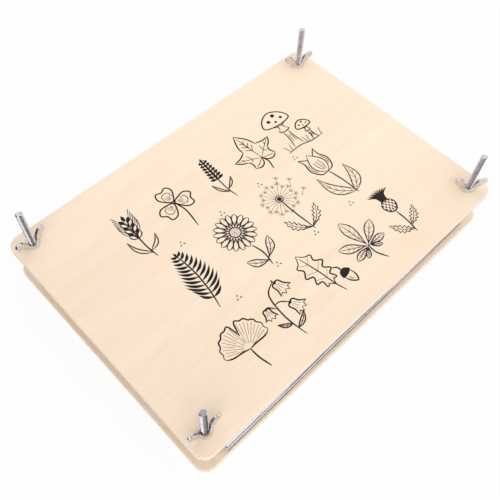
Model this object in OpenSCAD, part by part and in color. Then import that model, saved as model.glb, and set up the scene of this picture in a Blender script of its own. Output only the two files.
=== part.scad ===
// Flower press: two plywood boards drawn together by four bolts with wing nuts,
// over a loose stack of corrugated cards and blotting sheets.
// The origin is the middle of the underside. X runs along the length of the press,
// Y across it, and Z up. Sizes are in millimetres.

/* [Boards] */
// Length of both boards, along X
board_length = 300; // [240:5:400]
// Width of both boards, along Y
board_width = 210; // [150:5:280]
// Thickness of each board
board_thickness = 6; // [5:0.5:12]
// Radius of the boards' four corners
corner_radius = 9; // [4:0.5:13]
// Width of the eased edge round each face
edge_ease = 0.4; // [0.2:0.1:1]

/* [Bolts] */
// Thread diameter of the bolts
bolt_diameter = 5; // [4:0.5:6]
// Length of a bolt from under its head to its tip
bolt_length = 74; // [64:1:110]
// Distance from each board edge to a bolt's middle
bolt_inset = 14; // [13.5:0.5:18]
// Bevel at the tip of a bolt
tip_bevel = 0.6; // [0.3:0.1:1]
// Diameter of the round head
head_diameter = 11.5; // [10:0.5:14]
// Height of the round head
head_height = 2.6; // [2:0.1:3]
// Height of the head's straight rim
head_rim = 0.7; // [0.4:0.1:1]
// Width of the square neck under the head
neck_width = 5.4; // [5:0.1:7]

/* [Wing nuts] */
// Span over both wings
wing_span = 25.4; // [22:0.2:27]
// Height of a nut to the top of its wings
nut_height = 11.5; // [10:0.5:14]
// Width of a wing at its tip, seen flat on
wing_width = 5.6; // [4:0.2:6.4]
// Width of a wing where it leaves the bolt
wing_root_width = 3.4; // [2.4:0.1:4]
// Thickness of a wing
wing_thickness = 2.8; // [1.6:0.1:3.4]
// Height of a wing's lower edge above the seat
wing_lift = 0.2; // [0.1:0.1:0.6]
// Diameter of the nut's seat
seat_diameter = 10; // [9:0.5:12]
// Height of the seat's straight rim
seat_rim = 0.8; // [0.4:0.1:2]
// Diameter at the top of the nut's middle
crown_diameter = 8.8; // [8:0.1:9.5]
// Height of the nut's middle, which holds the thread
crown_height = 3.2; // [2.8:0.1:6]

/* [Sheets] */
// Room between the ends of the sheets and the bolts
sheet_end_room = 3.5; // [3:0.5:12]
// Margin between the sides of the sheets and the edges of the boards
sheet_side_margin = 3; // [3:0.5:12]
// Number of corrugated cards
card_count = 7; // [2:1:8]
// Thickness of a corrugated card
card_thickness = 3; // [2:0.25:3.5]
// Thickness of a blotting sheet
blotter_thickness = 0.5; // [0.3:0.05:0.6]
// Angle by which the loose stack lies turned between the boards
stack_turn = 0.7; // [0:0.1:0.8]
// Angle by which a single sheet lies turned in the stack
sheet_turn = 0.08; // [0:0.02:0.1]
// Sideways slip of a single sheet
sheet_slip = 0.35; // [0:0.05:0.5]

/* [Clearances] */
// Room all round a bolt in the top board's holes
board_hole_clearance = 0.5; // [0.3:0.1:0.7]
// Room all round a bolt in a nut
nut_clearance = 0.08; // [0.05:0.01:0.1]
// Room all round a bolt's head in its pocket
head_clearance = 0.75; // [0.3:0.05:1]
// Depth of a bolt's head below the underside
head_set_back = 0.2; // [0.1:0.1:0.4]
// Room all round the square neck
neck_clearance = 0.05; // [0.02:0.01:0.2]
// Depth of the neck's end below the bottom board's upper face
neck_set_back = 0.5; // [0.2:0.1:0.8]

/* [Hidden] */
// Number of blotting sheets between two cards
blotters_per_gap = 2;
// Angle from the slip of one sheet to the next, so that no two slip alike
slip_step = 137.5;
// Angle of the lowest sheet's slip
slip_start = 130;
// Share of a wing's rise that follows an S, the rest being straight
wing_bend_share = 0.8;
// The corners, and how each nut stands there at rest
corner_names = ["back_left", "front_left", "front_right", "back_right"];
nut_turns = [9, -4, -41, -20];
// Length by which a cut runs past the material that it cuts
overrun = 1;
// Steps in a drawn curve
curve_steps = 8;
$fn = 64;

bolt_radius = bolt_diameter / 2;
bolt_x = board_length / 2 - bolt_inset;
bolt_y = board_width / 2 - bolt_inset;
bolt_places = [[-bolt_x, bolt_y], [-bolt_x, -bolt_y], [bolt_x, -bolt_y], [bolt_x, bolt_y]];
last_corner = len(corner_names) - 1;

sheet_length = 2 * (bolt_x - bolt_radius - sheet_end_room);
sheet_width = board_width - 2 * sheet_side_margin;
gap_thickness = blotters_per_gap * blotter_thickness;
layer_pitch = card_thickness + gap_thickness;
stack_height = card_count * layer_pitch - gap_thickness;
blotter_count = (card_count - 1) * blotters_per_gap;
stack_top = board_thickness + stack_height;
press_height = stack_top + board_thickness;

pocket_depth = head_height + head_set_back;
neck_length = board_thickness - pocket_depth - neck_set_back;

wing_half = wing_width / 2;
wing_root_half = wing_root_width / 2;
wing_root = [bolt_radius, wing_root_half + wing_lift];
wing_tip = [wing_span / 2 - wing_half, nut_height - wing_half];
wing_slope = (wing_tip.y - wing_root.y) / (wing_tip.x - wing_root.x);

card_names = [for (i = [1:card_count]) str("corrugated_card_", i)];
blotter_names = [for (i = [1:blotter_count]) str("blotting_sheet_", i)];
bolt_names = [for (name = corner_names) str("carriage_bolt_", name)];
nut_names = [for (name = corner_names) str("wing_nut_", name)];

// A bar along X whose four long edges are eased
module eased_bar(length, width) {
    side = width / 2;
    face = side - edge_ease;
    upper = board_thickness - edge_ease;
    rotate([90, 0, 90])
        linear_extrude(length, center = true)
            polygon([
                [-face, 0], [face, 0],
                [side, edge_ease], [side, upper],
                [face, board_thickness], [-face, board_thickness],
                [-side, upper], [-side, edge_ease]
            ]);
}

// A round corner with the same eased edges
module eased_corner() {
    face = corner_radius - edge_ease;
    upper = board_thickness - edge_ease;
    rotate_extrude()
        polygon([
            [0, 0], [face, 0],
            [corner_radius, edge_ease], [corner_radius, upper],
            [face, board_thickness], [0, board_thickness]
        ]);
}

// A board with round corners, before its holes
module board_blank() {
    straight_x = board_length - 2 * corner_radius;
    straight_y = board_width - 2 * corner_radius;
    eased_bar(straight_x, board_width);
    rotate([0, 0, 90]) eased_bar(straight_y, board_length);
    for (x = [-straight_x / 2, straight_x / 2], y = [-straight_y / 2, straight_y / 2])
        translate([x, y, 0]) eased_corner();
}

// The lower board, with a pocket and a square hole for each bolt
module bottom_board() {
    pocket_diameter = head_diameter + 2 * head_clearance;
    neck_hole = neck_width + 2 * neck_clearance;
    color("bisque")
        difference() {
            board_blank();
            for (place = bolt_places)
                translate([place.x, place.y, 0]) {
                    translate([0, 0, -overrun])
                        cylinder(h = overrun + pocket_depth, d = pocket_diameter);
                    translate([-neck_hole / 2, -neck_hole / 2, 0])
                        cube([neck_hole, neck_hole, board_thickness + overrun]);
                }
        }
}

// The upper board, which slides on the bolts
module top_board() {
    hole_radius = bolt_radius + board_hole_clearance;
    color("bisque")
        translate([0, 0, stack_top])
            difference() {
                board_blank();
                for (place = bolt_places)
                    translate([place.x, place.y, -overrun])
                        cylinder(h = board_thickness + 2 * overrun, r = hole_radius);
            }
}

// The low round head, with its flat side up at zero
module bolt_head() {
    head_radius = head_diameter / 2;
    dome_height = head_height - head_rim;
    dome_radius = (head_radius ^ 2 + dome_height ^ 2) / (2 * dome_height);
    translate([0, 0, -head_height])
        intersection() {
            cylinder(h = head_height, r = head_radius);
            translate([0, 0, dome_radius]) sphere(r = dome_radius);
        }
}

// A bolt with a round head and a square neck that the wood grips
module carriage_bolt(corner) {
    place = bolt_places[corner];
    color("silver")
        translate([place.x, place.y, pocket_depth]) {
            bolt_head();
            translate([-neck_width / 2, -neck_width / 2, 0])
                cube([neck_width, neck_width, neck_length]);
            cylinder(h = bolt_length - tip_bevel, r = bolt_radius);
            translate([0, 0, bolt_length - tip_bevel])
                cylinder(h = tip_bevel, r1 = bolt_radius, r2 = bolt_radius - tip_bevel);
        }
}

// Point on a wing's middle line, with share running from 0 at its root to 1 at its tip
function wing_line(share) =
    let (bent = share ^ 2 * (3 - 2 * share))
    [
        wing_root.x + (wing_tip.x - wing_root.x) * share,
        wing_root.y + (wing_tip.y - wing_root.y) * ((1 - wing_bend_share) * share + wing_bend_share * bent)
    ];

// Angle of a wing's middle line above the level at the same point
function wing_angle(share) =
    atan(wing_slope * (1 - wing_bend_share + wing_bend_share * 6 * share * (1 - share)));

// Point at half a wing's width from its middle line, in a direction measured from the line
function wing_edge(share, direction) =
    let (angle = wing_angle(share) + direction)
    let (half = wing_root_half + (wing_half - wing_root_half) * share)
    wing_line(share) + half * [cos(angle), sin(angle)];

// Outline of one wing, outward along X and upward along Y
module wing_outline() {
    lower = [for (i = [0:curve_steps]) wing_edge(i / curve_steps, -90)];
    tip = [for (i = [1:curve_steps - 1]) wing_edge(1, -90 + 180 * i / curve_steps)];
    upper = [for (i = [curve_steps:-1:0]) wing_edge(i / curve_steps, 90)];
    polygon(concat(lower, tip, upper));
}

// The middle of a nut, before its hole
module nut_middle() {
    cylinder(h = seat_rim, d = seat_diameter);
    translate([0, 0, seat_rim])
        cylinder(h = crown_height - seat_rim, d1 = seat_diameter, d2 = crown_diameter);
}

// A nut with two wings, standing on the top board
module wing_nut(corner) {
    place = bolt_places[corner];
    color("lightgray")
        translate([place.x, place.y, press_height])
            rotate([0, 0, nut_turns[corner]])
                difference() {
                    union() {
                        nut_middle();
                        for (side = [0, 180])
                            rotate([90, 0, side])
                                linear_extrude(wing_thickness, center = true) wing_outline();
                    }
                    translate([0, 0, -overrun])
                        cylinder(h = nut_height + 2 * overrun, r = bolt_radius + nut_clearance);
                }
}

// A flat sheet at a given level of the stack, slipped and turned a little
module sheet(level, bottom, thickness) {
    phase = slip_start + level * slip_step;
    translate([sheet_slip * sin(phase), sheet_slip * cos(phase), bottom])
        rotate([0, 0, stack_turn + sheet_turn * cos(phase)])
            translate([-sheet_length / 2, -sheet_width / 2, 0])
                cube([sheet_length, sheet_width, thickness]);
}

// A corrugated card, which lets the damp air out between the blotting sheets
module corrugated_card(number) {
    layer = number - 1;
    level = layer * (1 + blotters_per_gap);
    color("whitesmoke")
        sheet(level, board_thickness + layer * layer_pitch, card_thickness);
}

// A blotting sheet, which lies against the flowers
module blotting_sheet(number) {
    gap = floor((number - 1) / blotters_per_gap);
    place_in_gap = (number - 1) % blotters_per_gap;
    level = gap * (1 + blotters_per_gap) + 1 + place_in_gap;
    card_top = board_thickness + gap * layer_pitch + card_thickness;
    color("white")
        sheet(level, card_top + place_in_gap * blotter_thickness, blotter_thickness);
}

bottom_board();
for (i = [0:last_corner])
    carriage_bolt(i);
for (i = [1:card_count])
    corrugated_card(i);
for (i = [1:blotter_count])
    blotting_sheet(i);
top_board();
for (i = [0:last_corner])
    wing_nut(i);
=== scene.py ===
# Looks of the flower press: plywood boards with a printed face, threaded bolts, wing nuts,
# corrugated cards and blotting sheets, on a white studio floor.
# Lengths are in metres and the frame is that of the CAD part.
import math
from math import cos, pi, radians, sin

import bmesh
import bpy
from mathutils import Matrix, Vector, noise


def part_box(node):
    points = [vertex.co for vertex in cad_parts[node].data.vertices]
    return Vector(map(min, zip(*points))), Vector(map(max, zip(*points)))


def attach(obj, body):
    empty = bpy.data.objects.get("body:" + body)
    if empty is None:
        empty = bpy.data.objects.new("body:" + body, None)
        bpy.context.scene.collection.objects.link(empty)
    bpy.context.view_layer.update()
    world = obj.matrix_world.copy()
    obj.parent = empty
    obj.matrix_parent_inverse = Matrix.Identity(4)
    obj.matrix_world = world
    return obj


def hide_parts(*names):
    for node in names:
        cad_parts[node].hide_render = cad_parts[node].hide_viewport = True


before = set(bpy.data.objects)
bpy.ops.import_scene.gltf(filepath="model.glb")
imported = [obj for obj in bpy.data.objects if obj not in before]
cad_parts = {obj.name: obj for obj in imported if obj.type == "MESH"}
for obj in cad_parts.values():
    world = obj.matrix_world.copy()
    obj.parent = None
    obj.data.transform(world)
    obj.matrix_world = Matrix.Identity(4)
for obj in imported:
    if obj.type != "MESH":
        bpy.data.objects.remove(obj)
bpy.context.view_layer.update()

MM = 0.001
CORNERS = ["back_left", "front_left", "front_right", "back_right"]
bolt_boxes = [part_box("carriage_bolt_" + corner) for corner in CORNERS]
bolt_places = [((low.x + high.x) / 2, (low.y + high.y) / 2) for low, high in bolt_boxes]


def add_object(name, data):
    """An object of the scene that shows a mesh, a lamp or a camera"""
    made = bpy.data.objects.new(name, data)
    bpy.context.scene.collection.objects.link(made)
    return made


# Camera

CAMERA_PLACE = (-0.19775, -0.17537, 0.42284)
CAMERA_TURN = (31.2504, -1.9804, -43.9866)
CAMERA_LENS = 45.176
CAMERA_SENSOR = 36
CAMERA_NEAR = 0.01


def add_camera():
    """The photograph's viewpoint"""
    data = bpy.data.cameras.new("camera")
    data.lens = CAMERA_LENS
    data.sensor_width = CAMERA_SENSOR
    data.clip_start = CAMERA_NEAR
    camera = add_object("camera", data)
    camera.location = CAMERA_PLACE
    camera.rotation_euler = [radians(angle) for angle in CAMERA_TURN]
    bpy.context.scene.camera = camera


# Helpers for shader nodes

def linear(red, green, blue):
    """A colour given in 0 to 255 as a shader's linear colour"""
    shares = [value / 255 for value in (red, green, blue)]
    bent = [s / 12.92 if s <= 0.04045 else ((s + 0.055) / 1.055) ** 2.4 for s in shares]
    return (*bent, 1)


def new_material(name):
    """A material with its node tree and its main shader"""
    material = bpy.data.materials.new(name)
    material.use_nodes = True
    tree = material.node_tree
    return material, tree, tree.nodes["Principled BSDF"]


def connect(tree, shader, inputs):
    """Gives a node its inputs, each a value or a socket to link"""
    for key, value in inputs.items():
        if isinstance(value, bpy.types.NodeSocket):
            tree.links.new(value, shader.inputs[key])
        else:
            shader.inputs[key].default_value = value


def node(tree, kind, inputs=None, **settings):
    """A new shader node with its settings and its inputs"""
    made = tree.nodes.new("ShaderNode" + kind)
    for name, value in settings.items():
        setattr(made, name, value)
    connect(tree, made, inputs or {})
    return made


def maths(tree, operation, *values):
    """The result of a maths node"""
    return node(tree, "Math", dict(enumerate(values)), operation=operation).outputs[0]


def mixed(tree, factor, first, second):
    """The mix of two colours"""
    inputs = {0: factor, 6: first, 7: second}
    return node(tree, "Mix", inputs, data_type="RGBA").outputs[2]


def spread(tree, value, low, high, to_low=0.0, to_high=1.0):
    """A value carried from one range to another, and kept inside it"""
    inputs = {0: value, 1: low, 2: high, 3: to_low, 4: to_high}
    return node(tree, "MapRange", inputs).outputs[0]


def grain(tree, place, scale, stretch, detail, roughness, offset=0.0):
    """Noise with its own stretch along each axis"""
    inputs = {"Vector": place, "Scale": stretch, "Location": (offset, offset, offset)}
    moved = node(tree, "Mapping", inputs).outputs[0]
    inputs = {"Vector": moved, "Scale": scale, "Detail": detail, "Roughness": roughness}
    return node(tree, "TexNoise", inputs).outputs[0]


def relief(tree, height, distance, strength):
    """The normals of a fine relief"""
    inputs = {"Height": height, "Distance": distance, "Strength": strength}
    return node(tree, "Bump", inputs).outputs[0]


def surface(tree, shine):
    """Shows the shader given on the surface"""
    connect(tree, tree.nodes["Material Output"], {"Surface": shine})


def seen_directly(tree):
    """One for the camera's rays, reflections and rays through glass, and zero for light"""
    path = node(tree, "LightPath").outputs
    seen = maths(tree, "MAXIMUM", path["Is Camera Ray"], path["Is Glossy Ray"])
    return maths(tree, "MAXIMUM", seen, path["Is Transmission Ray"])


# Materials

PLY_COUNT = 5
WOOD_LIGHT = linear(253, 233, 210)
WOOD_DARK = linear(246, 221, 195)
WOOD_LINE = linear(234, 203, 172)
EDGE_LIGHT = linear(250, 237, 223)
EDGE_DARK = linear(241, 222, 202)
EDGE_END = linear(234, 213, 193)
EDGE_GLUE = linear(220, 193, 168)
BOLT_COLOUR = linear(214, 211, 215)
NUT_COLOUR = linear(234, 231, 228)
CARD_LIGHT = linear(246, 242, 242)
CARD_DARK = linear(234, 229, 230)
BLOTTER_LIGHT = linear(238, 236, 234)
BLOTTER_DARK = linear(226, 223, 222)
INK_DARK = linear(24, 22, 22)
INK_THIN = linear(52, 46, 42)


def ply_face(tree, place, streaks, fibres, offset):
    """The colour of a board's face: long grain, faint rings and darker pores"""
    broad = grain(tree, place, 9, (0.35, 1.6, 1), 3, 0.5, offset)
    bend = grain(tree, place, 7, (0.5, 1.2, 1), 2, 0.4, offset + 3)
    swing = maths(tree, "MULTIPLY", bend, 9.0)
    width = node(tree, "SeparateXYZ", {0: place}).outputs[1]
    across = maths(tree, "MULTIPLY_ADD", width, 46.0, swing)
    rings = spread(tree, maths(tree, "PINGPONG", across, 1.0), 0.0, 0.22, 1.0, 0.0)
    tone = maths(tree, "MULTIPLY_ADD", streaks, 0.55, maths(tree, "MULTIPLY", broad, 0.75))
    face = mixed(tree, spread(tree, tone, 0.42, 0.95), WOOD_LIGHT, WOOD_DARK)
    face = mixed(tree, maths(tree, "MULTIPLY", rings, 0.1), face, WOOD_LINE)
    return mixed(tree, spread(tree, fibres, 0.56, 0.8, 0.0, 0.22), face, WOOD_LINE)


def ply_edge(tree, place, facing, fibres, thickness, offset):
    """The colour of a board's edge: plies cut along and across the grain, with glue between"""
    height = node(tree, "SeparateXYZ", {0: place}).outputs[2]
    layer = maths(tree, "MULTIPLY", height, PLY_COUNT / thickness)
    odd = maths(tree, "GREATER_THAN", maths(tree, "MODULO", layer, 2.0), 1.0)
    end_side = maths(tree, "GREATER_THAN", maths(tree, "ABSOLUTE", facing.outputs[0]), 0.7)
    end_grain = maths(tree, "ABSOLUTE", maths(tree, "SUBTRACT", odd, end_side))
    dots = grain(tree, place, 1500, (1, 1, 1), 2, 0.6, offset)
    long_cut = mixed(tree, spread(tree, fibres, 0.4, 0.7), EDGE_LIGHT, EDGE_DARK)
    end_cut = mixed(tree, spread(tree, dots, 0.35, 0.65), EDGE_END, EDGE_DARK)
    edge = mixed(tree, maths(tree, "MULTIPLY", end_grain, 0.75), long_cut, end_cut)
    part_of_ply = maths(tree, "FRACT", layer)
    glue = spread(tree, maths(tree, "PINGPONG", part_of_ply, 0.5), 0.03, 0.09, 0.45, 0.0)
    return mixed(tree, glue, edge, EDGE_GLUE)


def plywood(name, thickness, offset):
    """Pale plywood: long grain on its faces, and plies that show along its edges"""
    material, tree, shader = new_material(name)
    place = node(tree, "TexCoord").outputs["Object"]
    facing = node(tree, "SeparateXYZ", {0: node(tree, "NewGeometry").outputs["True Normal"]})
    streaks = grain(tree, place, 60, (0.12, 2.4, 1), 4, 0.55, offset)
    fibres = grain(tree, place, 700, (0.04, 1.5, 1), 3, 0.7, offset)
    face = ply_face(tree, place, streaks, fibres, offset)
    edge = ply_edge(tree, place, facing, fibres, thickness, offset)
    upright = maths(tree, "LESS_THAN", maths(tree, "ABSOLUTE", facing.outputs[2]), 0.75)
    height = maths(tree, "MULTIPLY_ADD", streaks, 0.5, fibres)
    connect(tree, shader, {
        "Base Color": mixed(tree, upright, face, edge),
        "Roughness": spread(tree, fibres, 0.3, 0.8, 0.5, 0.66),
        "Specular IOR Level": 0.28,
        "Normal": relief(tree, height, 0.12 * MM, 0.35),
    })
    return material


def zinc(name, colour, low_rough, high_rough, cloud_scale):
    """Bright zinc plating, a little cloudy and finely pitted"""
    material, tree, shader = new_material(name)
    place = node(tree, "TexCoord").outputs["Object"]
    clouds = grain(tree, place, cloud_scale, (1, 1, 1), 4, 0.6)
    specks = grain(tree, place, 3500, (1, 1, 1), 2, 0.6)
    dark = tuple(0.8 * value for value in colour[:3]) + (1,)
    height = maths(tree, "MULTIPLY_ADD", clouds, 0.6, specks)
    connect(tree, shader, {
        "Base Color": mixed(tree, spread(tree, clouds, 0.35, 0.7), colour, dark),
        "Metallic": 1.0,
        "Roughness": spread(tree, clouds, 0.3, 0.75, low_rough, high_rough),
        "Normal": relief(tree, height, 0.02 * MM, 0.5),
    })
    return material


def paper(name, light, dark, fibre_scale):
    """Matt paper or card with short fibres in it"""
    material, tree, shader = new_material(name)
    place = node(tree, "TexCoord").outputs["Object"]
    fibres = grain(tree, place, fibre_scale, (0.4, 1, 1), 4, 0.7)
    clouds = grain(tree, place, 40, (1, 1, 1), 3, 0.5)
    tone = maths(tree, "MULTIPLY_ADD", clouds, 0.5, maths(tree, "MULTIPLY", fibres, 0.5))
    connect(tree, shader, {
        "Base Color": mixed(tree, spread(tree, tone, 0.35, 0.65), light, dark),
        "Roughness": spread(tree, fibres, 0.3, 0.7, 0.8, 0.95),
        "Specular IOR Level": 0.2,
        "Normal": relief(tree, fibres, 0.08 * MM, 0.4),
    })
    return material


def ink(name):
    """Printed ink, a little thin where the grain runs through it"""
    material, tree, shader = new_material(name)
    place = node(tree, "TexCoord").outputs["Object"]
    fibres = grain(tree, place, 700, (0.08, 1.5, 1), 3, 0.7)
    connect(tree, shader, {
        "Base Color": mixed(tree, spread(tree, fibres, 0.55, 0.8), INK_DARK, INK_THIN),
        "Roughness": spread(tree, fibres, 0.3, 0.7, 0.5, 0.7),
        "Specular IOR Level": 0.25,
    })
    return material


# Helpers for meshes

ROUND_STEPS = 48
METAL_SHARP = radians(40)
SHEET_SHARP = radians(35)

# Signs of x and y, once round a square
CORNER_SIGNS = [(-1, -1), (1, -1), (1, 1), (-1, 1)]


def circle(radius, height, count=ROUND_STEPS, middle=(0, 0)):
    """Points of a level circle"""
    x, y = middle
    turns = [2 * pi * i / count for i in range(count)]
    return [(x + radius * cos(turn), y + radius * sin(turn), height) for turn in turns]


def square(side, height, count=ROUND_STEPS, middle=(0, 0)):
    """The same number of points on a level square"""
    points = []
    for x, y, _ in circle(1, 0, count):
        reach = side / 2 / max(abs(x), abs(y))
        points.append((middle[0] + x * reach, middle[1] + y * reach, height))
    return points


def add_wall(build, loops):
    """Joins each loop of points to the next, and returns them as rings of vertices"""
    rings = [[build.verts.new(point) for point in loop] for loop in loops]
    for lower, upper in zip(rings, rings[1:]):
        for i in range(len(lower)):
            k = (i + 1) % len(lower)
            build.faces.new((lower[i], lower[k], upper[k], upper[i]))
    return rings


def fill_face(build, rings):
    """Closes the flat face between an outer ring and the rings of its holes"""
    edges = []
    for ring in rings:
        edges += [build.edges.get(pair) for pair in zip(ring, ring[1:] + ring[:1])]
    bmesh.ops.triangle_fill(build, edges=edges, use_beauty=True, use_dissolve=False)


def add_solid(build, loops):
    """Joins the loops to one solid that is closed at both ends"""
    rings = add_wall(build, loops)
    build.faces.new(rings[0])
    build.faces.new(rings[-1])


def to_mesh(build, name):
    """The finished mesh, with smooth shading and its normals outwards"""
    bmesh.ops.recalc_face_normals(build, faces=build.faces)
    for face in build.faces:
        face.smooth = True
    mesh = bpy.data.meshes.new(name)
    build.to_mesh(mesh)
    build.free()
    return mesh


def add_piece(name, mesh, material, body, replaced=None, place=(0, 0, 0), turn=0.0):
    """A piece of the press in its place, riding on its body"""
    piece = add_object(name, mesh)
    if not mesh.materials:
        mesh.materials.append(material)
    piece.location = place
    piece.rotation_euler.z = turn
    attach(piece, body)
    if replaced:
        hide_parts(replaced)
    return piece


def after_modifiers(piece):
    """The mesh that a piece's modifiers give, and the piece itself is removed"""
    bpy.context.view_layer.update()
    shown = piece.evaluated_get(bpy.context.evaluated_depsgraph_get())
    mesh = bpy.data.meshes.new_from_object(shown)
    bpy.data.objects.remove(piece)
    return mesh


# Boards

CORNER_RADIUS = 9 * MM
CORNER_STEPS = 12
ARRIS = 0.5 * MM
ARRIS_STEPS = 5
BOARD_HOLE = 6 * MM
HOLE_EASE = 0.25 * MM
POCKET = 13 * MM
POCKET_DEPTH = 2.8 * MM
NECK_HOLE = 5.5 * MM


def board_loop(length, width, inset, height):
    """Points round a board's outline, drawn in by the inset"""
    radius = CORNER_RADIUS - inset
    points = []
    for corner, (side_x, side_y) in enumerate([(1, 1), (-1, 1), (-1, -1), (1, -1)]):
        x = side_x * (length / 2 - CORNER_RADIUS)
        y = side_y * (width / 2 - CORNER_RADIUS)
        for step in range(CORNER_STEPS + 1):
            angle = pi / 2 * corner + pi / 2 * step / CORNER_STEPS
            points.append((x + radius * cos(angle), y + radius * sin(angle), height))
    return points


def board_wall(length, width, thickness):
    """Loops up the side of a board, with both arrises rounded"""
    lower, upper = [], []
    for step in range(ARRIS_STEPS + 1):
        angle = pi / 2 * step / ARRIS_STEPS
        near, far = ARRIS * (1 - cos(angle)), ARRIS * (1 - sin(angle))
        lower.append(board_loop(length, width, far, near))
        upper.append(board_loop(length, width, near, thickness - far))
    return lower + upper


def add_hole(build, place, thickness):
    """A round hole right through a board, eased at both ends; gives its two end rings"""
    half = BOARD_HOLE / 2
    rings = add_wall(build, [
        circle(half + HOLE_EASE, 0, middle=place),
        circle(half, HOLE_EASE, middle=place),
        circle(half, thickness - HOLE_EASE, middle=place),
        circle(half + HOLE_EASE, thickness, middle=place),
    ])
    return rings[0], rings[-1]


def add_pocket(build, place, thickness):
    """A round pocket under a square hole, for a bolt's head and neck; gives its two end rings"""
    half = POCKET / 2
    pocket = add_wall(build, [
        circle(half + HOLE_EASE, 0, middle=place),
        circle(half, HOLE_EASE, middle=place),
        circle(half, POCKET_DEPTH, middle=place),
    ])
    heights = (POCKET_DEPTH, thickness)
    neck = add_wall(build, [square(NECK_HOLE, height, middle=place) for height in heights])
    fill_face(build, [pocket[-1], neck[0]])
    return pocket[0], neck[-1]


def add_board(name, node_name, body, add_opening, grain_offset):
    """A board with one opening for each bolt"""
    low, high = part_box(node_name)
    length, width, thickness = high - low
    build = bmesh.new()
    wall = add_wall(build, board_wall(length, width, thickness))
    under, over = [wall[0]], [wall[-1]]
    for place in bolt_places:
        lower, upper = add_opening(build, place, thickness)
        under.append(lower)
        over.append(upper)
    fill_face(build, under)
    fill_face(build, over)
    material = plywood(name, thickness, grain_offset)
    mesh = to_mesh(build, name)
    board = add_piece(name, mesh, material, body, node_name, (0, 0, low.z))
    board.modifiers.new("even_shading", "WEIGHTED_NORMAL").weight = 100


# Bolts

THREAD_PITCH = 0.8 * MM
THREAD_RADIUS = 2.5 * MM
THREAD_CORE = 2.067 * MM
TIP_RADIUS = 1.9 * MM
BOLT_STEPS = 32
BOLT_HEAD = 11.5 * MM
HEAD_RIM = 0.7 * MM
HEAD_EASE = 0.15 * MM
DOME_SHARES = (0.12, 0.35, 0.6, 0.8, 0.93)
NECK_WIDTH = 5.4 * MM
NECK_END = 5.5 * MM
BOLT_TURN = radians(330)
SAME_PLACE = 0.001 * MM

# Heights in shares of the pitch, with 1 at the crest and 0 at the core
THREAD_POINTS = [(0.0, 1), (0.125, 1), (0.4375, 0), (0.6875, 0)]


def add_thread(build, start, end):
    """A helical thread between two heights, closed at both ends"""
    rows = []
    for turn in range(-1, math.ceil((end - start) / THREAD_PITCH) + 1):
        for share, crest in THREAD_POINTS:
            row = []
            for i in range(BOLT_STEPS):
                angle = 2 * pi * i / BOLT_STEPS
                height = start + THREAD_PITCH * (turn + share + i / BOLT_STEPS)
                height = min(max(height, start), end)
                radius = THREAD_RADIUS if crest else THREAD_CORE
                radius = min(radius, TIP_RADIUS + end - height, TIP_RADIUS + height - start)
                point = (radius * cos(angle), radius * sin(angle), height)
                row.append(build.verts.new(point))
            rows.append(row)
    for number, row in enumerate(rows[:-1]):
        above = rows[number + 1]
        for i in range(BOLT_STEPS - 1):
            build.faces.new((row[i], row[i + 1], above[i + 1], above[i]))
        if number + 5 < len(rows):
            build.faces.new((row[-1], rows[number + 4][0], rows[number + 5][0], above[-1]))
    bmesh.ops.remove_doubles(build, verts=build.verts, dist=SAME_PLACE)
    bmesh.ops.dissolve_degenerate(build, edges=build.edges, dist=SAME_PLACE / 2)
    open_edges = [edge for edge in build.edges if len(edge.link_faces) == 1]
    bmesh.ops.holes_fill(build, edges=open_edges, sides=0)


def bolt_mesh(low, high):
    """A carriage bolt about its own axis, with heights as in the frame"""
    build = bmesh.new()
    add_thread(build, NECK_END - THREAD_PITCH / 4, high)
    radius = BOLT_HEAD / 2
    dome = POCKET_DEPTH - HEAD_RIM - low
    loops = [circle(radius * share, low + dome * share ** 2, BOLT_STEPS) for share in DOME_SHARES]
    loops += [
        circle(radius, POCKET_DEPTH - HEAD_RIM, BOLT_STEPS),
        circle(radius, POCKET_DEPTH - HEAD_EASE, BOLT_STEPS),
        circle(radius - HEAD_EASE, POCKET_DEPTH, BOLT_STEPS),
        square(NECK_WIDTH, POCKET_DEPTH, BOLT_STEPS),
        square(NECK_WIDTH, NECK_END, BOLT_STEPS),
    ]
    add_solid(build, loops)
    mesh = to_mesh(build, "carriage_bolt")
    mesh.set_sharp_from_angle(angle=METAL_SHARP)
    return mesh


def add_bolts():
    """Four bolts that share one mesh"""
    low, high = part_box("carriage_bolt_" + CORNERS[0])
    mesh = bolt_mesh(low.z, high.z)
    material = zinc("bolt_zinc", BOLT_COLOUR, 0.12, 0.22, 260)
    for corner, (x, y) in zip(CORNERS, bolt_places):
        name = "carriage_bolt_" + corner
        place = (x, y, 0)
        add_piece("threaded_" + name, mesh, material, "base", name, place, BOLT_TURN)


# Wing nuts

NUT_TURNS = [9, -4, -41, -20]
NUT_BORE = 2.58 * MM
NUT_VOXEL = 0.22 * MM
SEAT_RADIUS = 5 * MM
SEAT_RIM = 0.8 * MM
SEAT_EASE = 0.3 * MM
CROWN_RADIUS = 4.4 * MM
CROWN_HEIGHT = 3.2 * MM
CROWN_EASE = 0.4 * MM
WING_HALF = 2.8 * MM
ROOT_HALF = 1.7 * MM
WING_THICK = 2.9 * MM
WING_ROOT = Vector((2.5 * MM, 1.9 * MM))
WING_TIP = Vector((9.9 * MM, 8.7 * MM))
WING_BEND = 0.8
WING_STEPS = 12
TIP_STEPS = 8
SECTION_STEPS = 24
SECTION_POWER = 0.32


def wing_line(share):
    """A point on a wing's middle line, outward and upward, and the line's angle there"""
    reach = WING_TIP - WING_ROOT
    rise = (1 - WING_BEND) * share + WING_BEND * share ** 2 * (3 - 2 * share)
    slope = reach.y / reach.x * (1 - WING_BEND + WING_BEND * 6 * share * (1 - share))
    return WING_ROOT + Vector((reach.x * share, reach.y * rise)), math.atan(slope)


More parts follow.
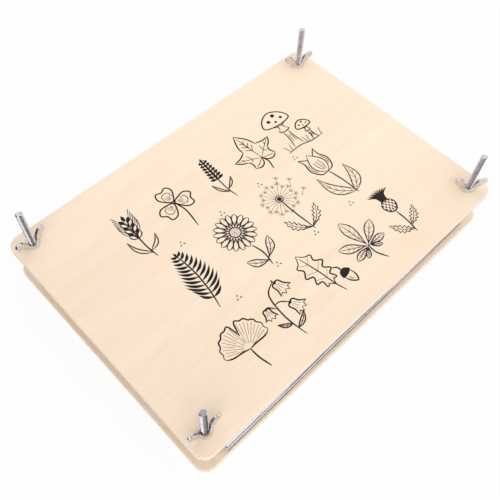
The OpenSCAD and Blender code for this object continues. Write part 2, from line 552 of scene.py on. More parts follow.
def wing_section(point, angle, half, thick, side):
    """A rounded section across a wing"""
    points = []
    for i in range(SECTION_STEPS):
        turn = 2 * pi * i / SECTION_STEPS
        c, s = cos(turn), sin(turn)
        across = half * math.copysign(abs(c) ** SECTION_POWER, c)
        y = thick / 2 * math.copysign(abs(s) ** SECTION_POWER, s)
        x = point.x - across * sin(angle)
        points.append((side * x, y, point.y + across * cos(angle)))
    return points


def add_wing(build, side):
    """One wing, from inside the nut's middle to its round tip"""
    loops = []
    for i in range(WING_STEPS + 1):
        share = i / WING_STEPS
        point, angle = wing_line(share)
        half = ROOT_HALF + (WING_HALF - ROOT_HALF) * share
        loops.append(wing_section(point, angle, half, WING_THICK * (1.1 - 0.15 * share), side))
    point, angle = wing_line(1)
    for i in range(1, TIP_STEPS):
        turn = pi / 2 * i / TIP_STEPS
        ahead = Vector((cos(angle), sin(angle))) * WING_HALF * sin(turn)
        thick = WING_THICK * 0.95 * (1 - 0.35 * sin(turn) ** 4)
        loops.append(wing_section(point + ahead, angle, WING_HALF * cos(turn), thick, side))
    add_solid(build, loops)


def nut_skin():
    """A nut without its hole: its middle and wings under one softened skin"""
    build = bmesh.new()
    add_solid(build, [
        circle(SEAT_RADIUS - SEAT_EASE, 0),
        circle(SEAT_RADIUS, SEAT_EASE),
        circle(SEAT_RADIUS, SEAT_RIM),
        circle(CROWN_RADIUS, CROWN_HEIGHT - CROWN_EASE),
        circle(CROWN_RADIUS - CROWN_EASE, CROWN_HEIGHT),
    ])
    for side in (-1, 1):
        add_wing(build, side)
    rough = add_object("rough_nut", to_mesh(build, "rough_nut"))
    remesh = rough.modifiers.new("one_skin", "REMESH")
    remesh.mode = "VOXEL"
    remesh.voxel_size = NUT_VOXEL
    soften = rough.modifiers.new("soften", "SMOOTH")
    soften.factor = 0.5
    soften.iterations = 8
    skin = after_modifiers(rough)
    for vertex in skin.vertices:
        if vertex.co.z < SEAT_EASE:
            vertex.co.z = 0
    return skin


def drill_mesh():
    """The shape of a nut's hole, which widens at both ends"""
    build = bmesh.new()
    add_solid(build, [
        circle(NUT_BORE + 1.4 * MM, -1 * MM),
        circle(NUT_BORE, 0.4 * MM),
        circle(NUT_BORE, CROWN_HEIGHT - 0.5 * MM),
        circle(NUT_BORE + 1.5 * MM, CROWN_HEIGHT + 1 * MM),
        circle(NUT_BORE + 1.5 * MM, 2 * CROWN_HEIGHT),
    ])
    return to_mesh(build, "drill")


def nut_mesh():
    """A wing nut about its own axis, standing at zero"""
    skin = nut_skin()
    drill = add_object("drill", drill_mesh())
    whole = add_object("whole_nut", skin)
    hole = whole.modifiers.new("hole", "BOOLEAN")
    hole.operation = "DIFFERENCE"
    hole.object = drill
    mesh = after_modifiers(whole)
    bpy.data.objects.remove(drill)
    mesh.materials.clear()
    for polygon in mesh.polygons:
        polygon.use_smooth = True
    mesh.set_sharp_from_angle(angle=METAL_SHARP)
    return mesh


def add_nuts():
    """Four wing nuts that share one mesh, each turned its own way"""
    material = zinc("nut_zinc", NUT_COLOUR, 0.22, 0.32, 300)
    mesh = nut_mesh()
    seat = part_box("wing_nut_" + CORNERS[0])[0].z
    for corner, (x, y), turn in zip(CORNERS, bolt_places, NUT_TURNS):
        name = "wing_nut_" + corner
        body, place, angle = "nut_" + corner, (x, y, seat), radians(turn)
        add_piece("cast_" + name, mesh, material, body, name, place, angle)


# Cards and sheets

LINER = 0.3 * MM
FLUTE = 7.5 * MM
FLUTE_STEPS = 10
MEDIUM = 0.28 * MM
FLUTE_SINK = 0.02 * MM
FLUTE_MARGIN = 0.2 * MM
EDGE_STEP = 9 * MM
CARD_UNEVENNESS = 0.35 * MM
SHEET_UNEVENNESS = 0.8 * MM

# Cards given dark grey paper as painted shade: card 1 paints the contact shadow at the foot of the
# stack, card 3 a shadow line higher up its side
SHADE_PAINTED_CARDS = {1: (134, 124, 120), 3: (156, 150, 158)}


def sheet_place(node_name):
    """A sheet's middle at its underside, its turn and its three sizes, from its CAD node"""
    points = [vertex.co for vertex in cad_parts[node_name].data.vertices]
    low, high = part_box(node_name)
    near = min(points, key=lambda p: p.x + p.y)
    along = (max(points, key=lambda p: p.x - p.y) - near).to_2d()
    across = (min(points, key=lambda p: p.x - p.y) - near).to_2d()
    middle = ((low.x + high.x) / 2, (low.y + high.y) / 2, low.z)
    return middle, math.atan2(along.y, along.x), (along.length, across.length, high.z - low.z)


def cut_outline(length, width, unevenness, seed):
    """A sheet's outline, cut a little unevenly and never outside its size"""
    corners = [Vector((x * length / 2, y * width / 2)) for x, y in CORNER_SIGNS]
    points = []
    for i, (start, end) in enumerate(zip(corners, corners[1:] + corners[:1])):
        inward = Vector((start.y - end.y, end.x - start.x)).normalized()
        count = int((end - start).length / EDGE_STEP)
        for step in range(count):
            share = step / count
            drift = noise.noise(Vector((share * count / 3, i * 7.3, seed * 3.7)))
            depth = unevenness * (0.5 + drift) * min(1, 6 * share, 6 * (1 - share))
            points.append(start.lerp(end, share) + inward * max(depth, 0))
    return points


def add_slab(build, outline, low, high):
    """A flat layer of the outline's shape"""
    add_solid(build, [[(point.x, point.y, z) for point in outline] for z in (low, high)])


def add_flutes(build, length, width, thickness, phase):
    """The wavy paper inside a corrugated card"""
    swing = thickness / 2 - LINER - MEDIUM / 2 + FLUTE_SINK
    count = int(width / FLUTE * FLUTE_STEPS)
    half = length / 2 - FLUTE_MARGIN
    rows = []
    for side, skin in CORNER_SIGNS:
        row = []
        for i in range(count + 1):
            y = (width - 2 * FLUTE_MARGIN) * (i / count - 0.5)
            z = thickness / 2 + swing * sin(2 * pi * (y / FLUTE + phase))
            row.append(build.verts.new((side * half, y, z + skin * MEDIUM / 2)))
        rows.append(row)
    for a, b in zip(rows, rows[1:] + rows[:1]):
        for i in range(count):
            build.faces.new((a[i], b[i], b[i + 1], a[i + 1]))
    for i in (0, count):
        build.faces.new([row[i] for row in rows])


def numbered_nodes(start):
    """The number and name of each CAD node with this start"""
    count = sum(name.startswith(start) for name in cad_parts)
    return [(number, f"{start}{number}") for number in range(1, count + 1)]


def lay(build, name, material, node_name, middle, turn):
    """A finished card or sheet in its place in the stack"""
    piece = add_piece(name, to_mesh(build, name), material, "base", node_name, middle, turn)
    piece.data.set_sharp_from_angle(angle=SHEET_SHARP)


def add_cards():
    """Corrugated cards: two liners and the flutes between them"""
    white = paper("white_card", CARD_LIGHT, CARD_DARK, 900)
    # Cards 1 and 3 get darker grey paper, which paints shadow lines along the side of the stack
    shade_painted_papers = {}
    for number, shade in SHADE_PAINTED_CARDS.items():
        darker = [0.9 * value for value in shade]
        shade_painted_papers[number] = paper(f"shade_painted_card_{number}", linear(*shade), linear(*darker), 900)
    for number, node_name in numbered_nodes("corrugated_card_"):
        middle, turn, (length, width, thickness) = sheet_place(node_name)
        build = bmesh.new()
        for layer, low in enumerate((0, thickness - LINER)):
            outline = cut_outline(length, width, CARD_UNEVENNESS, number * 2 + layer)
            add_slab(build, outline, low, low + LINER)
        add_flutes(build, length, width, thickness, number * 0.618 % 1)
        material = shade_painted_papers.get(number, white)
        lay(build, f"fluted_card_{number}", material, node_name, middle, turn)


def add_blotters():
    """Blotting sheets, cut a little unevenly"""
    material = paper("blotting_paper", BLOTTER_LIGHT, BLOTTER_DARK, 1400)
    for number, node_name in numbered_nodes("blotting_sheet_"):
        middle, turn, (length, width, thickness) = sheet_place(node_name)
        build = bmesh.new()
        add_slab(build, cut_outline(length, width, SHEET_UNEVENNESS, 40 + number), 0, thickness)
        lay(build, f"cut_{node_name}", material, node_name, middle, turn)


# Printed drawings

INK_SINK = 0.01 * MM
INK_RISE = 0.02 * MM
INK_STEP = 0.002 * MM
INK_LAYERS = 9
BOLD = 1.15 * MM
LINE = 0.95 * MM
FINE = 0.6 * MM
BLADE_STEPS = 12


def spline(points, closed=False, steps=6):
    """A smooth curve through the points"""
    points = [Vector(point) for point in points]
    count = len(points)
    curve = []
    for i in range(count if closed else count - 1):
        near = range(i - 1, i + 3)
        a, b, c, d = [points[k % count if closed else min(max(k, 0), count - 1)] for k in near]
        for step in range(steps):
            t = step / steps
            curved = (2 * a - 5 * b + 4 * c - d) * t ** 2 + (3 * b - 3 * c + d - a) * t ** 3
            curve.append(b + ((c - a) * t + curved) / 2)
    if not closed:
        curve.append(points[-1])
    return curve


def polar(middle, degrees, reach):
    """The point at an angle and a distance from the middle"""
    angle = radians(degrees)
    return Vector(middle) + reach * Vector((cos(angle), sin(angle)))


def turned(points, degrees, middle=(0, 0), size=1.0):
    """The points turned about zero, scaled and moved to the middle"""
    spin = Matrix.Rotation(radians(degrees), 2)
    return [spin @ Vector(point) * size + Vector(middle) for point in points]


def mirrored(points):
    """The points on the other side of the upright middle line"""
    return [(-point[0], point[1]) for point in points]


def blade(base, tip, width, belly=0.5, bend=0.0, fullness=1.0):
    """The left side, middle line and right side of a leaf or petal, from its base to its tip"""
    base, tip = Vector(base), Vector(tip)
    along = tip - base
    across = Vector((-along.y, along.x))
    power = math.log(0.5) / math.log(belly)
    rows = []
    for side in (1, 0, -1):
        row = []
        for i in range(BLADE_STEPS + 1):
            share = i / BLADE_STEPS
            swell = abs(sin(pi * share ** power)) ** fullness
            shift = side * width / 2 * swell / along.length + bend * sin(pi * share)
            row.append(base + along * share + across * shift)
        rows.append(row)
    return rows


class Pen:
    """Draws in ink on the board, each motif in its own place and size"""

    def __init__(self, height):
        self.build = bmesh.new()
        self.height = height
        self.marks = 0

    def move(self, x, y, size, degrees=0):
        """Goes to a motif's middle, where a length of 1 then stands for its size"""
        self.middle = Vector((x, y)) * MM
        self.spin = Matrix.Rotation(radians(degrees), 2) * (size * MM)

    def heights(self):
        """The next mark's underside and top; the tops take a few heights in turn"""
        self.marks += 1
        rise = INK_RISE + INK_STEP * (self.marks % INK_LAYERS)
        return self.height - INK_SINK, self.height + rise

    def stroke(self, points, width=LINE, closed=False):
        """A line of ink along the points, narrower at its free ends"""
        points = [self.spin @ Vector(point) + self.middle for point in points]
        if closed:
            points += points[:2]
        low, high = self.heights()
        last = len(points) - 1
        loops = []
        for i, point in enumerate(points):
            ahead = points[min(i + 1, last)] - points[max(i - 1, 0)]
            from_end = 1 if closed else min(1, 4 * min(i, last - i) / last)
            half = width / 2 * (0.45 + 0.55 * from_end)
            side = Vector((-ahead.y, ahead.x)).normalized() * half
            a, b = point + side, point - side
            loops.append([(*a, low), (*b, low), (*b, high), (*a, high)])
        add_solid(self.build, loops)

    def line(self, points, width=LINE, closed=False):
        """A smooth line of ink through the points"""
        self.stroke(spline(points, closed), width, closed)

    def fill(self, outline):
        """An area of solid ink"""
        points = [self.spin @ Vector(point) + self.middle for point in outline]
        add_solid(self.build, [[(*point, height) for point in points] for height in self.heights()])

    def dot(self, middle, radius):
        """A round spot"""
        self.fill([polar(middle, 30 * i, radius) for i in range(12)])

    def leaf(self, base, tip, width, belly=0.5, bend=0.0, fullness=1.0, veins=0, filled=False):
        """A leaf or a petal, filled or in outline, with veins that lean forward"""
        left, middle, right = blade(base, tip, width, belly, bend, fullness)
        if filled:
            self.fill(left + right[-2:0:-1])
            return
        self.stroke(left)
        self.stroke(right)
        if veins:
            self.stroke(middle[:-1], FINE)
            for i in range(veins):
                start = 1 + i * (BLADE_STEPS - 3) // veins
                for side in (left, right):
                    self.stroke([middle[start], middle[start].lerp(side[start + 2], 0.8)], FINE)


def draw_fern(pen):
    """A fern frond"""
    stem = spline([(-0.02, -0.5), (0.02, -0.2), (0.02, 0.15), (-0.03, 0.46)], steps=5)
    pen.stroke(stem, BOLD)
    for i in range(3, len(stem) - 1):
        ahead = stem[i + 1] - stem[i - 1]
        heading = math.degrees(math.atan2(ahead.y, ahead.x))
        reach = 0.29 * (1 - (i / len(stem)) ** 2) * min(1, i / 5)
        for side in (-1, 1):
            tip = polar(stem[i], heading + side * 55, reach + 0.03)
            pen.leaf(stem[i], tip, 0.042, 0.45, 0.1 * side, filled=True)
    pen.leaf(stem[-2], (-0.04, 0.5), 0.035, filled=True)


def draw_wheat(pen):
    """An ear of wheat with two narrow leaves"""
    pen.line([(0.06, -0.5), (0.01, -0.2), (0, 0.3)], BOLD)
    for i in range(6):
        y = -0.06 + 0.068 * i
        for side in (-1, 1):
            tip = (side * 0.1, y + 0.12)
            pen.leaf((side * 0.01, y), tip, 0.065, 0.55, filled=i % 2 == 1)
            pen.line([tip, (side * 0.15, y + 0.22), (side * 0.17, y + 0.33 - 0.02 * i)], FINE)
    pen.leaf((0, 0.33), (0, 0.47), 0.06, filled=True)
    pen.leaf((0.04, -0.4), (-0.2, -0.02), 0.06, 0.4, 0.14)
    pen.leaf((0.04, -0.36), (0.25, -0.12), 0.06, 0.4, -0.16)


def draw_clover(pen):
    """A clover leaf of three hearts"""
    heart = [(0.02, 0), (0.1, 0.09), (0.22, 0.15), (0.32, 0.1), (0.29, 0)]
    heart += [(x, -y) for x, y in heart[-2:0:-1]]
    mark = [(0.1, 0.07), (0.2, 0.075), (0.24, 0), (0.2, -0.075), (0.1, -0.07)]
    middle = (0, 0.1)
    for degrees in (90, 205, 335):
        pen.line(turned(heart, degrees, middle), BOLD, True)
        pen.line(turned(mark, degrees, middle), FINE)
        for y in (-0.06, -0.03, 0, 0.03, 0.06):
            pen.stroke(turned([(0.08, y * 0.3), (0.17, y)], degrees, middle), FINE)
    pen.line([middle, (0.03, -0.15), (-0.05, -0.5)], BOLD)


def draw_lavender(pen):
    """A sprig of lavender"""
    pen.line([(0.05, -0.5), (0, -0.2), (0, 0.4)])
    for row in range(7):
        y = -0.04 + 0.07 * row
        reach = 0.115 - 0.008 * row
        for lean in (-62, -25, 25, 62):
            base = (-lean * 0.0004, y)
            pen.leaf(base, polar(base, 90 + lean, reach), 0.05, 0.6, filled=abs(lean) > 30)
    pen.leaf((0, 0.42), (0, 0.5), 0.04, filled=True)
    pen.leaf((0.02, -0.36), (-0.17, -0.08), 0.04, 0.5, 0.1)
    pen.leaf((0.02, -0.3), (0.2, -0.1), 0.04, 0.5, -0.1)


def draw_ivy(pen):
    """An ivy leaf with five points"""
    foot = Vector((0, -0.19))
    arcs = [
        [foot, (-0.06, -0.3), (-0.16, -0.33), (-0.25, -0.28)],
        [(-0.25, -0.28), (-0.22, -0.18), (-0.25, -0.1)],
        [(-0.25, -0.1), (-0.34, -0.05), (-0.42, 0.04)],
        [(-0.42, 0.04), (-0.28, 0.05), (-0.15, 0.1)],
        [(-0.15, 0.1), (-0.12, 0.26), (0, 0.47)],
    ]
    veins = [
        [foot, (-0.12, -0.25), (-0.21, -0.27)],
        [foot, (-0.2, -0.07), (-0.36, 0.02)],
        [(0, 0.02), (-0.09, 0.12)],
        [(0, 0.12), (-0.08, 0.21)],
        [(0, 0.22), (-0.05, 0.29)],
        [(-0.14, -0.11), (-0.17, 0.02)],
        [(-0.14, -0.11), (-0.19, -0.15)],
        [(-0.25, -0.05), (-0.28, 0.02)],
    ]
    for turn_over in (list, mirrored):
        for arc in arcs:
            pen.line(turn_over(arc), BOLD)
        for vein in veins:
            pen.line(turn_over(vein), FINE)
    pen.stroke([foot, (0, 0.2), (0, 0.4)])
    pen.line([foot, (0.02, -0.33), (-0.04, -0.5)], BOLD)


def draw_mushroom(pen, middle, size):
    """One mushroom with a spotted cap, a skirt and a foot"""
    def put(points):
        return turned(points, 0, middle, size)

    cap = [(-0.27, 0.12), (-0.2, 0.3), (0, 0.4), (0.2, 0.3), (0.27, 0.12), (0, 0.06)]
    pen.line(put(cap), BOLD, True)
    pen.line(put([(-0.2, 0.09), (0, 0.03), (0.2, 0.09)]), FINE)
    pen.line(put([(-0.05, -0.03), (-0.1, -0.09), (0, -0.12), (0.1, -0.09), (0.05, -0.03)]))
    for side in (-1, 1):
        pen.line(put([(side * 0.05, 0.04), (side * 0.05, -0.03)]))
        pen.line(put([(side * 0.05, -0.12), (side * 0.06, -0.3), (side * 0.1, -0.5)]))
        pen.line(put([(side * 0.02, -0.2), (side * 0.03, -0.4)]), FINE)
    spots = [(-0.11, 0.22, 0.035), (0.04, 0.3, 0.04), (0.14, 0.19, 0.03), (0, 0.15, 0.025)]
    for x, y, radius in spots:
        pen.dot(put([(x, y)])[0], radius * size)


def draw_mushrooms(pen):
    """A large mushroom and a small one in the grass"""
    draw_mushroom(pen, (-0.1, 0.06), 1.0)
    draw_mushroom(pen, (0.24, -0.22), 0.55)
    for x, lean in ((-0.33, -0.06), (-0.28, 0.03), (0.06, -0.02), (0.1, 0.04), (0.38, 0.05)):
        pen.line([(x, -0.5), (x + lean * 0.3, -0.4), (x + lean, -0.33)], FINE)
    pen.line([(-0.38, -0.49), (-0.1, -0.46), (0.15, -0.5), (0.4, -0.48)])


def draw_daisy(pen):
    """A daisy with narrow petals"""
    middle = (0, 0.19)
    for i in range(18):
        degrees = 20 * i + 5
        pen.leaf(polar(middle, degrees, 0.09), polar(middle, degrees, 0.3), 0.075, 0.66, 0, 0.7)
        pen.stroke([polar(middle, degrees, 0.1), polar(middle, degrees, 0.17)], FINE)
    pen.stroke([polar(middle, 15 * i, 0.082) for i in range(24)], closed=True)
    for i in range(34):
        pen.dot(polar(middle, 137.5 * i, 0.0125 * math.sqrt(i)), 0.0065)
    pen.line([(0, -0.11), (0.02, -0.3), (-0.03, -0.5)], BOLD)
    pen.leaf((0.01, -0.4), (0.25, -0.16), 0.11, 0.6, -0.1, veins=3)
    pen.leaf((0, -0.43), (-0.25, -0.24), 0.11, 0.6, 0.1, veins=3)


def draw_dandelion(pen):
    """A dandelion clock that loses its seeds"""
    middle = (-0.05, 0.17)
    pen.line([middle, (-0.03, -0.1), (0.03, -0.5)], BOLD)
    pen.dot(middle, 0.035)
    seeds = [(middle, 18 * i + 4, 0.21 + 0.035 * (i % 2)) for i in range(20)]
    seeds += [((0.2, 0.2), 60, 0.16), ((0.22, 0.0), 40, 0.15), ((0.08, 0.36), 62, 0.12)]
    for start, degrees, reach in seeds:
        end = polar(start, degrees, reach)
        pen.stroke([polar(start, degrees, 0.04), end], FINE)
        pen.dot(polar(start, degrees, 0.055), 0.009)
        for lean in (-62, -30, 0, 30, 62):
            pen.stroke([end, polar(end, degrees + lean, 0.05)], FINE)
    for side in (-1, 1):
        tip = (0.02 + side * 0.27, -0.16)
        left, rib, right = blade((0.02, -0.46), tip, 0.13, 0.6, -0.12 * side)
        for row in (left, right):
            teeth = [row[i].lerp(rib[i - 1], 0.55 * (i % 2)) for i in range(1, len(row))]
            pen.stroke([row[0]] + teeth)
        pen.stroke(rib[:-2], FINE)


def draw_tulip(pen):
    """A tulip between its leaves"""
    pen.line([(0, 0.06), (0.015, -0.2), (0, -0.5)], BOLD)
    pen.leaf((0, 0.05), (0, 0.46), 0.24, 0.42)
    for y in (-0.05, 0, 0.05):
        pen.line([(y * 0.4, 0.1), (y, 0.2), (y * 0.9, 0.3)], FINE)
    for side in (-1, 1):
        outer = [(0, 0.05), (side * 0.12, 0.07), (side * 0.19, 0.22), (side * 0.15, 0.36),
                 (side * 0.17, 0.48)]
        pen.line(outer, BOLD)
        pen.line([outer[-1], (side * 0.1, 0.42), (side * 0.05, 0.38)])
        pen.line([(side * 0.12, 0.12), (side * 0.155, 0.22), (side * 0.13, 0.33)], FINE)
        pen.leaf((0, -0.46), (side * 0.24, 0.03 - side * 0.05), 0.15, 0.4, -0.16 * side, veins=4)


def draw_ginkgo(pen):
    """A ginkgo leaf"""
    foot = Vector((0, -0.12))
    edge = []
    for i in range(61):
        share = i / 60
        notch = 0.22 * math.exp(-((share - 0.5) / 0.025) ** 2)
        droop = 0.1 * (2 * share - 1) ** 2
        reach = 0.48 - notch - droop + 0.012 * sin(60 * share)
        edge.append(polar(foot, 10 + 160 * share, reach))
    pen.stroke(edge, BOLD)
    for end, side in ((edge[0], 1), (edge[-1], -1)):
        pen.line([foot, (side * 0.12, -0.1), (side * 0.28, -0.09), end], BOLD)
    for i in range(3, 58, 3):
        pen.stroke([edge[i].lerp(foot, 0.8 if i % 2 else 0.5), edge[i].lerp(foot, 0.1)], FINE)
    pen.line([foot, (0.02, -0.3), (0.08, -0.5)], BOLD)


def draw_bellflower(pen):
    """A stem of bellflowers"""
    pen.line([(-0.14, -0.5), (-0.15, -0.1), (-0.05, 0.3), (0.16, 0.42)], BOLD)
    bells = [((0.17, 0.4), 10, 1.0, (0.16, 0.42)), ((0.08, 0.02), 20, 1.0, (-0.1, 0.14)),
             ((-0.26, 0.2), -12, 0.8, (-0.14, 0.08))]
    half = [(0, 0), (-0.07, -0.03), (-0.085, -0.13), (-0.14, -0.22)]
    rim = [(-0.14, -0.22), (-0.075, -0.2), (-0.045, -0.26), (0, -0.205)]
    for top, degrees, size, start in bells:
        pen.line([start, (Vector(start) + Vector(top)) / 2 + Vector((0, 0.04)), top])
        for side in (half, mirrored(half)):
            pen.line(turned(side, degrees, top, size), BOLD)
        for side in (rim, mirrored(rim)):
            pen.stroke(turned(side, degrees, top, size))
        for x in (-0.04, 0, 0.04):
            pen.stroke(turned([(x * 0.6, -0.06), (x * 1.3, -0.17)], degrees, top, size), FINE)
        for lean in (-150, -90, -30):
            pen.leaf(top, polar(top, degrees + lean, 0.05 * size), 0.03, filled=True)
    pen.leaf((-0.15, -0.35), (0.12, -0.22), 0.07, 0.45, -0.1, veins=3)
    pen.leaf((-0.15, -0.25), (-0.33, -0.1), 0.06, 0.45, 0.1, veins=3)


def draw_oak(pen):
    """An oak leaf and an acorn"""
    half = [(0, -0.32), (0.05, -0.24), (0.12, -0.24), (0.1, -0.13), (0.19, -0.09), (0.12, 0.02),
            (0.22, 0.09), (0.13, 0.19), (0.17, 0.29), (0.08, 0.34), (0, 0.45)]
    middle, degrees = (-0.08, 0.05), 14
    for side in (half, mirrored(half)):
        pen.line(turned(side, degrees, middle), BOLD)
    pen.line(turned([(0.02, -0.5), (0, -0.3), (0.01, 0), (0, 0.38)], degrees, middle))
    for x, y in ((0.08, -0.2), (0.14, -0.05), (0.16, 0.12), (0.12, 0.3)):
        for side in (-1, 1):
            pen.stroke(turned([(0, y - 0.09), (side * x, y)], degrees, middle), FINE)
    cup = [(-0.1, 0), (-0.07, 0.08), (0, 0.11), (0.07, 0.08), (0.1, 0), (0, -0.025)]
    nut = [(-0.08, 0), (-0.07, -0.11), (0, -0.2), (0.07, -0.11), (0.08, 0)]
    place = (0.25, -0.22)
    pen.fill(spline(turned(cup, 20, place), True))
    pen.line(turned(nut, 20, place), BOLD)
    pen.line(turned([(-0.03, -0.05), (-0.03, -0.1), (-0.01, -0.14)], 20, place), FINE)
    pen.line(turned([(0, 0.1), (0.01, 0.17), (-0.04, 0.24)], 20, place), BOLD)


def draw_chestnut(pen):
    """A horse chestnut leaf of seven leaflets"""
    foot = Vector((0, -0.14))
    leaflets = [(-38, 0.24), (-8, 0.36), (34, 0.5), (90, 0.6), (146, 0.5), (188, 0.36), (218, 0.24)]
    for degrees, reach in leaflets:
        tip = polar(foot, degrees, reach)
        pen.leaf(polar(foot, degrees, 0.03), tip, 0.32 * reach, 0.62, 0, 0.9, veins=4)
    pen.dot(foot, 0.02)
    pen.line([foot, (-0.02, -0.3), (0.05, -0.5)], BOLD)


def draw_thistle(pen):
    """A thistle"""
    side = [(-0.07, 0.25), (-0.13, 0.15), (-0.08, 0.03)]
    pen.line(side + [(0, 0)] + mirrored(side)[::-1], BOLD)
    pen.line([(-0.07, 0.25), (0, 0.235), (0.07, 0.25)])
    for row in range(5):
        y = 0.04 + 0.043 * row
        half = 0.12 * math.sqrt(1 - ((y - 0.14) / 0.16) ** 2)
        for i in range(3 + row % 2):
            x = half * ((2 * i - 2 - row % 2) / 3.4)
            pen.leaf((x, y - 0.02), (x, y + 0.035), 0.03, filled=True)
    for i in range(17):
        lean = 5 * (i - 8)
        start = (lean * 0.0015, 0.25)
        end = polar(start, 90 - lean, 0.24 - 0.02 * (i % 2))
        pen.line([start, polar(start, 90 - lean * 0.4, 0.12), end], FINE if i % 2 else LINE)
    pen.line([(0, 0), (0.02, -0.25), (0, -0.5)], BOLD)
    for side, y in ((-1, -0.44), (1, -0.36)):
        left, rib, right = blade((0.01, y), (side * 0.3, y + 0.28), 0.1, 0.5, -0.1 * side)
        for row in (left, right):
            spikes = [rib[i].lerp(row[i], 1.5 if i % 2 else 0.6) for i in range(1, len(row) - 1)]
            pen.stroke([row[0]] + spikes + [row[-1]])
        pen.stroke(rib[:-2], FINE)


def add_print():
    """Drawings of plants in three rows, as on a chart, printed on the top board"""
    pen = Pen(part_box("top_board")[1].z)
    outer = [draw_wheat, draw_clover, draw_lavender, draw_ivy, draw_mushrooms]
    inner = [draw_fern, draw_daisy, draw_dandelion, draw_tulip]
    lower = [draw_ginkgo, draw_bellflower, draw_oak, draw_chestnut, draw_thistle]
    for row, y, step, size in ((outer, 47, 39, 46), (inner, -9, 46, 54), (lower, -66, 39, 46)):
        for i, draw in enumerate(row):
            x = step * (i - (len(row) - 1) / 2)
            pen.move(x, y, size, 5 if i % 2 else -5)
            draw(pen)
    for y in (20, -39):
        for x in (-58.5, -19.5, 19.5, 58.5):
            pen.move(x, y, 10)
            for degrees in (90, 210, 330):
                pen.leaf(polar((0, 0), degrees, 0.08), polar((0, 0), degrees, 0.26), 0.1, filled=True)
    mesh = to_mesh(pen.build, "printed_drawings")
    mesh.set_sharp_from_angle(angle=SHEET_SHARP)
    add_piece("printed_drawings", mesh, ink("ink"), "upper_board")


# Studio

WHITE = (1, 1, 1, 1)
FLOOR_HALF = 3.0
FLOOR_COLOUR = (0.95, 0.95, 0.95, 1)
FLOOR_GLOW = 0.92
SKY_LIGHT = 0.3
PANEL_COLOUR = (1, 0.97, 0.985, 1)
PANEL_RADIUS = 0.85
SKIRT_RADIUS = 0.21
PANEL_STEP = 10
PANEL_BASE = 4 * MM

# Name, azimuths from and to, elevations from and to, glow
PANELS = [
    ("back", 0, 124, 28, 64, 1.15),
    ("high_back", 0, 110, 64, 88, 0.66),
    ("left_white", 146, 167, 33, 52, 1.6),
    ("left", 110, 166, 65, 88, 0.62),
    ("low_left", 125, 166, 53, 64, 0.5),
    ("white", 168, 207, 27, 48, 1.6),
    ("upper_white", 168, 189, 48, 63, 1.6),
    ("upper", 166, 189, 65, 88, 0.6),
    ("front", 208, 248, 34, 46, 0.42),
    ("low_front", 208, 300, 15, 33, 0.45),
    ("dark", 190, 302, 49, 80, 0.11),
    ("low_right_dark", 249, 298, 34, 48, 0.07),
    ("right", 303, 358, 52, 88, 0.92),
    ("right_white", 303, 352, 14, 50, 1.6),
]


def add_floor():
    """A white floor that keeps a soft shadow"""
    build = bmesh.new()
    corners = [(x * FLOOR_HALF, y * FLOOR_HALF, 0) for x, y in CORNER_SIGNS]
    build.faces.new([build.verts.new(corner) for corner in corners])
    mesh = to_mesh(build, "floor")
    material, tree, shader = new_material("floor")
    connect(tree, shader, {"Base Color": FLOOR_COLOUR, "Roughness": 0.9})
    share = maths(tree, "MULTIPLY", seen_directly(tree), FLOOR_GLOW)
    glow = node(tree, "Emission", {"Color": WHITE, "Strength": 1.0}).outputs[0]
    surface(tree, node(tree, "MixShader", {0: share, 1: shader.outputs[0], 2: glow}).outputs[0])
    mesh.materials.append(material)
    add_object("floor", mesh)


def outward(azimuth, elevation):
    """The direction at an azimuth from +X and an elevation, in degrees"""
    a, e = radians(azimuth), radians(elevation)
    return Vector((cos(e) * cos(a), cos(e) * sin(a), sin(e)))


def add_lamp(name, azimuth, elevation, distance, size, power):
    """A soft lamp that lights the press; the panels show in the metal in its place"""
    data = bpy.data.lights.new(name, "AREA")
    data.shape = "SQUARE"
    data.size = size
    data.energy = power
    lamp = add_object(name, data)
    away = outward(azimuth, elevation)
    lamp.location = away * distance
    lamp.rotation_euler = away.to_track_quat("Z", "Y").to_euler()
    lamp.visible_glossy = False
    lamp.visible_camera = False


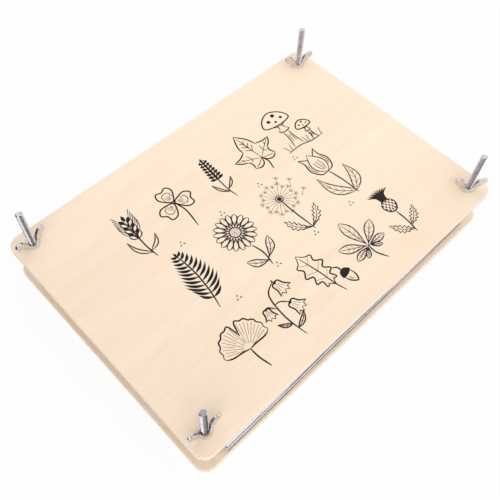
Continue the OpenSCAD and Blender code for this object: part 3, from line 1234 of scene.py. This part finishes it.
def add_panel(name, start, end, places, glow):
    """A studio panel round the press, white to black, seen only in reflections"""
    build = bmesh.new()
    steps = math.ceil((end - start) / PANEL_STEP)
    rows = []
    for elevation, radius in places:
        azimuths = [start + (end - start) * i / steps for i in range(steps + 1)]
        points = [outward(azimuth, elevation) * radius for azimuth in azimuths]
        rows.append([build.verts.new((*point.xy, point.z + PANEL_BASE)) for point in points])
    for lower, upper in zip(rows, rows[1:]):
        for i in range(steps):
            build.faces.new((lower[i], lower[i + 1], upper[i + 1], upper[i]))
    mesh = to_mesh(build, name)
    material, tree, _ = new_material(name)
    surface(tree, node(tree, "Emission", {"Color": PANEL_COLOUR, "Strength": glow}).outputs[0])
    mesh.materials.append(material)
    panel = add_object(name, mesh)
    panel.visible_camera = False
    panel.visible_diffuse = False
    panel.visible_transmission = False
    panel.visible_shadow = False


def band(low, high):
    """Elevations and radii of a panel that stands between two elevations"""
    return [(elevation, PANEL_RADIUS) for elevation in (low, (low + high) / 2, high)]


def add_panels():
    """The ring of panels, with a dark skirt round the foot of the press"""
    for name, start, end, low, high, glow in PANELS:
        add_panel(name + "_panel", start, end, band(low, high), glow)
    skirt = [(0, SKIRT_RADIUS), (0, PANEL_RADIUS), (14, PANEL_RADIUS)]
    add_panel("low_dark_panel", -20, 190, skirt, 0.03)
    add_panel("left_dark_panel", 125, 167, band(14, 32), 0.03)


def add_sky():
    """White for the camera and for reflections, and softer as light"""
    world = bpy.data.worlds.new("studio")
    bpy.context.scene.world = world
    world.use_nodes = True
    tree = world.node_tree
    strength = spread(tree, seen_directly(tree), 0.0, 1.0, SKY_LIGHT, 1.0)
    connect(tree, tree.nodes["Background"], {"Strength": strength, "Color": WHITE})


# The press in its studio

add_camera()

add_board("bottom_board_wood", "bottom_board", "base", add_pocket, 11.0)
add_board("top_board_wood", "top_board", "upper_board", add_hole, 2.0)
add_print()
add_bolts()
add_nuts()
add_cards()
add_blotters()

add_floor()
add_sky()
add_lamp("right_lamp", 290, 45, 1.4, 2, 8)
add_lamp("back_lamp", 45, 60, 0.4, 0.7, 1.08)
add_lamp("front_lamp", 220, 35, 1.6, 1.9, 16)
add_panels()

bpy.context.scene.view_settings.view_transform = "Standard"
